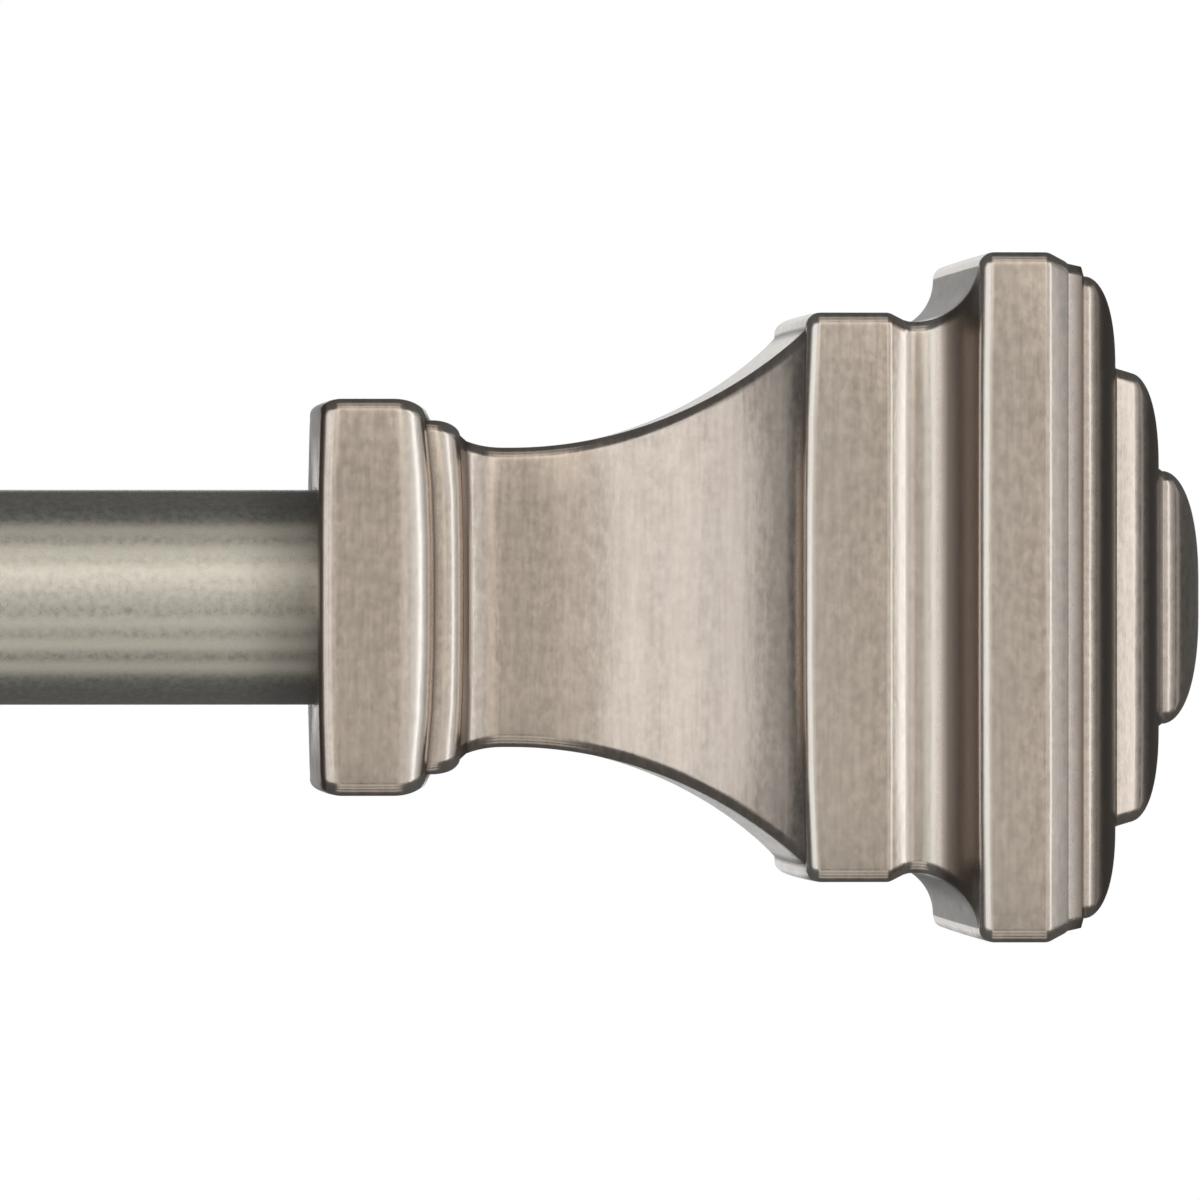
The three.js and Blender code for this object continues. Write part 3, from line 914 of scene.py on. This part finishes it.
def add_cradle_arm(side, matrix):
    """The arm, with chamfered slot, boss and clamp hole. The matrix's origin is on the rod's axis."""
    end_on = matrix @ rotation((0, 1, 0), (1, 0, 0))
    half = ARM_WIDTH / 2
    arm = bevelled_plate(f"{side}_cradle_arm_formed", [cradle_outline()], -half, half, 0.35, end_on)
    to_room = matrix @ rotation((0, -1, 0), (0, 0, 1))
    edge = 0.5
    shoulder = CRADLE_OUT + 2.5
    boss_profile = [
        (SOCKET_R + 1.4, 0.0),
        (SOCKET_R + 1.4, CLAMP_BOSS_R),
        (shoulder, CLAMP_BOSS_R),
        *arc(shoulder, CLAMP_BOSS_R - edge, edge, edge, 90, 0, 4),
        (shoulder + edge, 0.0),
    ]
    combine(arm, skin(f"{side}_boss", boss_profile, round_section(64), to_room), "UNION")
    chamfer = CRADLE_OUT + 2.7
    hole_profile = [
        (5.0, 0.0),
        (5.0, CLAMP_HOLE_R),
        (chamfer, CLAMP_HOLE_R),
        (chamfer + 0.8, CLAMP_HOLE_R + 0.8),
        (chamfer + 0.8, 0.0),
    ]
    combine(arm, skin(f"{side}_hole", hole_profile, round_section(48), to_room))
    top, bottom = -CRADLE_OUT + ARM_THICK, -CRADLE_OUT
    levels = [(bottom - 1.0, 1.3), (bottom + 0.3, 0.0), (top - 0.3, 0.0), (top + 1.0, 1.3)]
    verts, faces = [], []
    for z, wider in levels:
        outline = stadium(SLOT_LENGTH / 2 + wider, SLOT_R + wider)
        verts += [(x, SLOT_TO_AXIS + y, z) for x, y in outline]
    n = len(verts) // len(levels)
    for low in range(0, len(verts) - n, n):
        faces += [(low + i, low + (i + 1) % n, low + n + (i + 1) % n, low + n + i) for i in range(n)]
    faces += [tuple(range(n)), tuple(range(len(verts) - n, len(verts)))]
    combine(arm, mesh_object(f"{side}_slot", verts, faces, matrix))
    return stand_for(arm, f"{side}_cradle_arm")


def add_projection_nut(side):
    low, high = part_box(f"{side}_projection_nut")
    centre = (low + high) / 2
    size = (high - low) / MM
    outline = rounded_rectangle(size.x, size.y, 0.8)
    matrix = place((centre.x, centre.y, low.z))
    nut = bevelled_plate(
        f"{side}_projection_nut_pressed", [outline, circle(0, 0, 2.12)], 0, size.z, 0.3, matrix
    )
    return stand_for(nut, f"{side}_projection_nut")


def add_clamp_pad(side):
    low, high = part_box(f"{side}_clamp_pad")
    centre = (low + high) / 2
    thick = (high.y - low.y) / MM
    r = (high.x - low.x) / MM / 2
    profile = [
        (0.0, 0.0),
        (0.0, r - 0.15),
        (0.15, r),
        (thick - 0.5, r),
        *arc(thick - 0.5, r - 0.5, 0.5, 0.5, 90, 0, 5),
        (thick, 0.0),
    ]
    matrix = place((centre.x, low.y, centre.z), (0, 1, 0))
    pad = skin(f"{side}_clamp_pad_moulding", profile, round_section(48), matrix)
    return stand_for(pad, f"{side}_clamp_pad")


def add_clamp_screw(side):
    """The thumb screw: a scalloped knob with a dished face, a plain collar and a threaded shank."""
    low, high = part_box(f"{side}_clamp_screw")
    centre = (low + high) / 2
    matrix = place((centre.x, high.y, centre.z), (0, 1, 0))
    shank_length, knob_thick, knob_r, lobes, scallop = 7.4, 6.0, 7.0, 12, 0.45
    face = -shank_length - knob_thick
    edge = 0.7

    def relief(r, x, angle):
        if x > -shank_length + 0.01:
            return threaded(r, x, angle)
        depth = scallop * (1 - math.cos(lobes * angle))
        return r - depth * max(0.0, (r - 5.2) / (knob_r - 5.2))

    threaded = thread(-shank_length + 1.2, 0.6, 0.8, 0.42, run_out=0.6)
    profile = [
        (face + 0.7, 0.0),
        (face + 0.7, 3.2),
        (face + 0.15, 4.6),
        (face, 5.2),
        *arc(face + edge, knob_r - edge, edge, edge, 180, 90, 6),
        *arc(-shank_length - edge, knob_r - edge, edge, edge, 90, 0, 6),
        (-shank_length, 5.0),
        (-shank_length, 4.0),
        (-shank_length + 0.8, 4.0),
        (-shank_length + 1.0, 3.8),
        (-shank_length + 1.0, 2.8),
        *((x, 2.5) for x in span(-shank_length + 1.2, -0.5, 64)),
        (0.0, 2.0),
        (0.0, 0.0),
    ]
    obj = skin(f"{side}_clamp_screw_turned", profile, round_section(144, relief), matrix)
    return stand_for(obj, f"{side}_clamp_screw")


def add_wall_plug(side, level):
    """A barbed plastic sleeve, split over its far end."""
    node = f"{side}_wall_plug_{level}"
    low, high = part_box(node)
    centre = (low + high) / 2
    length = (high.y - low.y) / MM
    radius, bore, barb, barbs = 3.0, 2.15, 0.45, 5
    pitch = (length - 6) / barbs
    teeth = [
        point
        for i in range(barbs)
        for point in ((3 + i * pitch, radius), (3 + (i + 0.92) * pitch, radius - barb))
    ]
    profile = [
        (0.0, bore + 0.2),
        (0.0, radius - 0.2),
        (0.2, radius),
        *teeth,
        (length - 0.4, radius - barb - 0.1),
        (length, bore + 0.15),
        (length, bore),
        (0.3, bore),
    ]
    matrix = place((centre.x, low.y, centre.z), (0, 1, 0))
    obj = skin(f"{node}_moulding", profile, round_section(64), matrix, closed=True)
    ends, half_slit, tall = (length * 0.35, length + 1), 0.4, 2 * radius
    corners = [(x, y, z) for x in ends for y in (-half_slit, half_slit) for z in (-tall, tall)]
    faces = [(0, 1, 3, 2), (4, 5, 7, 6), (0, 1, 5, 4), (2, 3, 7, 6), (0, 2, 6, 4), (1, 3, 7, 5)]
    combine(obj, mesh_object(f"{node}_slit", corners, faces, matrix))
    return stand_for(obj, node)


def add_bracket(side):
    plate_low, plate_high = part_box(f"{side}_wall_plate")
    centre = (plate_low + plate_high) / 2
    wall = Vector((centre.x, plate_high.y, centre.z))
    # The plate's own directions: first along the rod, second up, third out of the wall.
    outward = place(wall, z_axis=(0, -1, 0))
    add_wall_plate(side, outward)
    arm_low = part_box(f"{side}_cradle_arm")[LB]
    axis = Vector((centre.x, AXIS.y, arm_low.z + CRADLE_OUT * MM))
    add_cradle_arm(side, place(axis))
    add_projection_nut(side)
    screw_low, screw_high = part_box(f"{side}_projection_screw")
    screw_middle_y = (screw_low.y + screw_high.y) / 2
    under = Vector((centre.x, screw_middle_y, screw_high.z - PROJECTION_SCREW_LENGTH * MM))
    add_screw(
        f"{side}_projection_screw", under, (0, 0, 1), (-1, 0, 0), shank=SCREW_R, head=3.8, rise=2.6,
        length=PROJECTION_SCREW_LENGTH, pitch=0.7, depth=0.35, point=(1.5, 0.8),
    )
    for level in ("upper", "lower"):
        node = f"{side}_wall_screw_{level}"
        low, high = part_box(node)
        seat = Vector((centre.x, high.y - WALL_SCREW_LENGTH * MM, (low.z + high.z) / 2))
        add_screw(
            node, seat, (0, 1, 0), (0, 0, 1), shank=SCREW_R, head=4.0, rise=2.6,
            length=WALL_SCREW_LENGTH, pitch=1.8, depth=0.6, point=(0.3, 7.0),
        )
        add_wall_plug(side, level)
    add_clamp_pad(side)
    add_clamp_screw(side)


# ---- Floor and light -----------------------------------------------------------------------------

def add_floor():
    """A pale floor that shows no lamp's edge, as most of its light is its own."""
    size, drop = 6.0, 0.30
    centre = (Vector(CAD_BOX[0]) + Vector(CAD_BOX[1])) / 2
    z = CAD_BOX[0][2] - drop
    offsets = ((-size, -size), (size, -size), (size, size), (-size, size))
    corners = [(centre.x + x, centre.y + y, z) for x, y in offsets]
    mesh = bpy.data.meshes.new("floor")
    mesh.from_pydata(corners, [], [(0, 1, 2, 3)])
    floor = bpy.data.objects.new("floor", mesh)
    bpy.context.scene.collection.objects.link(floor)
    s = Shader("floor", Roughness=0.9, Emission_Strength=0.86)
    lit = s.mix(s.noise(3, detail=2.0), (0.10, 0.10, 0.10), (0.12, 0.12, 0.12))
    own = s.mix(s.noise(5, detail=2.0), (0.80, 0.80, 0.79), (0.84, 0.84, 0.83))
    s.link(lit, s.surface.inputs["Base Color"])
    s.link(own, s.surface.inputs["Emission Color"])
    mesh.materials.append(s.material)
    floor.visible_glossy = False
    floor.visible_shadow = False


AMBIENT = 0.1
WARM, NEUTRAL = (1.0, 0.95, 0.87), (1.0, 1.0, 1.0)

# Brightness of the upright panels that stand round the finial, by azimuth: 0 is in front, and
# positive is to the right. The left box is wide and soft, and the right one is narrow and strong.
RING = {
    -75: 0.3, -60: 0.9, -45: 1.0, -30: 1.0, -15: 0.55,
    15: 0.7, 30: 0.65, 45: 1.4, 60: 0.5, 75: 0.3, 95: 0.3,
}

# Brightness of the panels that arch over and under the rod, by elevation.
ARCH = {75: 0.4, 50: 0.65, 30: 0.75, 13: 0.5, -28: 0.55, -52: 0.55, -80: 0.45}


def add_panel(azimuth, elevation, distance, size, brightness, colour=NEUTRAL):
    """A soft panel of the given width and height, turned to the finial."""
    a, e = math.radians(azimuth), math.radians(elevation)
    target = Vector((COLLAR_X["right"] + 0.03, AXIS.y, AXIS.z))
    name = f"panel_{azimuth}_{elevation}"
    data = bpy.data.lights.new(name, "AREA")
    data.shape = "RECTANGLE"
    data.size, data.size_y = size
    data.energy = brightness * math.pi * size[0] * size[1]
    data.color = colour
    light = bpy.data.objects.new(name, data)
    bpy.context.scene.collection.objects.link(light)
    light.location = target + distance * Vector(
        (math.sin(a) * math.cos(e), -math.cos(a) * math.cos(e), math.sin(e))
    )
    aim(light, target)
    light.visible_camera = False


def add_world():
    """White behind the object, and a dim grey for what lights it."""
    world = bpy.data.worlds.new("studio")
    bpy.context.scene.world = world
    world.use_nodes = True
    tree = world.node_tree
    tree.nodes.clear()
    output = tree.nodes.new("ShaderNodeOutputWorld")
    mix = tree.nodes.new("ShaderNodeMixShader")
    path = tree.nodes.new("ShaderNodeLightPath")
    shown = tree.nodes.new("ShaderNodeBackground")
    ambient = tree.nodes.new("ShaderNodeBackground")
    shown.inputs["Color"].default_value = (1.0, 1.0, 1.0, 1.0)
    ambient.inputs["Color"].default_value = (0.98, 0.99, 1.0, 1.0)
    ambient.inputs["Strength"].default_value = AMBIENT
    tree.links.new(path.outputs["Is Camera Ray"], mix.inputs["Fac"])
    tree.links.new(ambient.outputs["Background"], mix.inputs[1])
    tree.links.new(shown.outputs["Background"], mix.inputs[2])
    tree.links.new(mix.outputs["Shader"], output.inputs["Surface"])


def add_studio():
    add_world()
    for azimuth, brightness in RING.items():
        tint = WARM if abs(azimuth) <= 15 else NEUTRAL
        add_panel(azimuth, 6, 1.8, (0.42, 1.6), brightness, tint)
    for elevation, brightness in ARCH.items():
        add_panel(0, elevation, 2.2, (1.4, 0.65), brightness, WARM)
    add_panel(0, -4, 2.2, (0.5, 0.5), 0.5, WARM)
    add_panel(180, 4, 2.0, (0.9, 0.9), 0.9)
    view = bpy.context.scene.view_settings
    view.view_transform = "Standard"
    view.look = "None"


# ---- The whole scene -----------------------------------------------------------------------------

add_camera()
for end in ("right", "left"):
    add_finial(end)
    add_finial_pin(end)
    add_bracket(end)
add_end_plug("right", OUTER_R)
add_end_plug("left", INNER_R)
add_reducer_ring()
add_tube("outer_tube", OUTER_R, "right")
add_tube("inner_tube", INNER_R, "left")
add_bush()
add_floor()
add_studio()
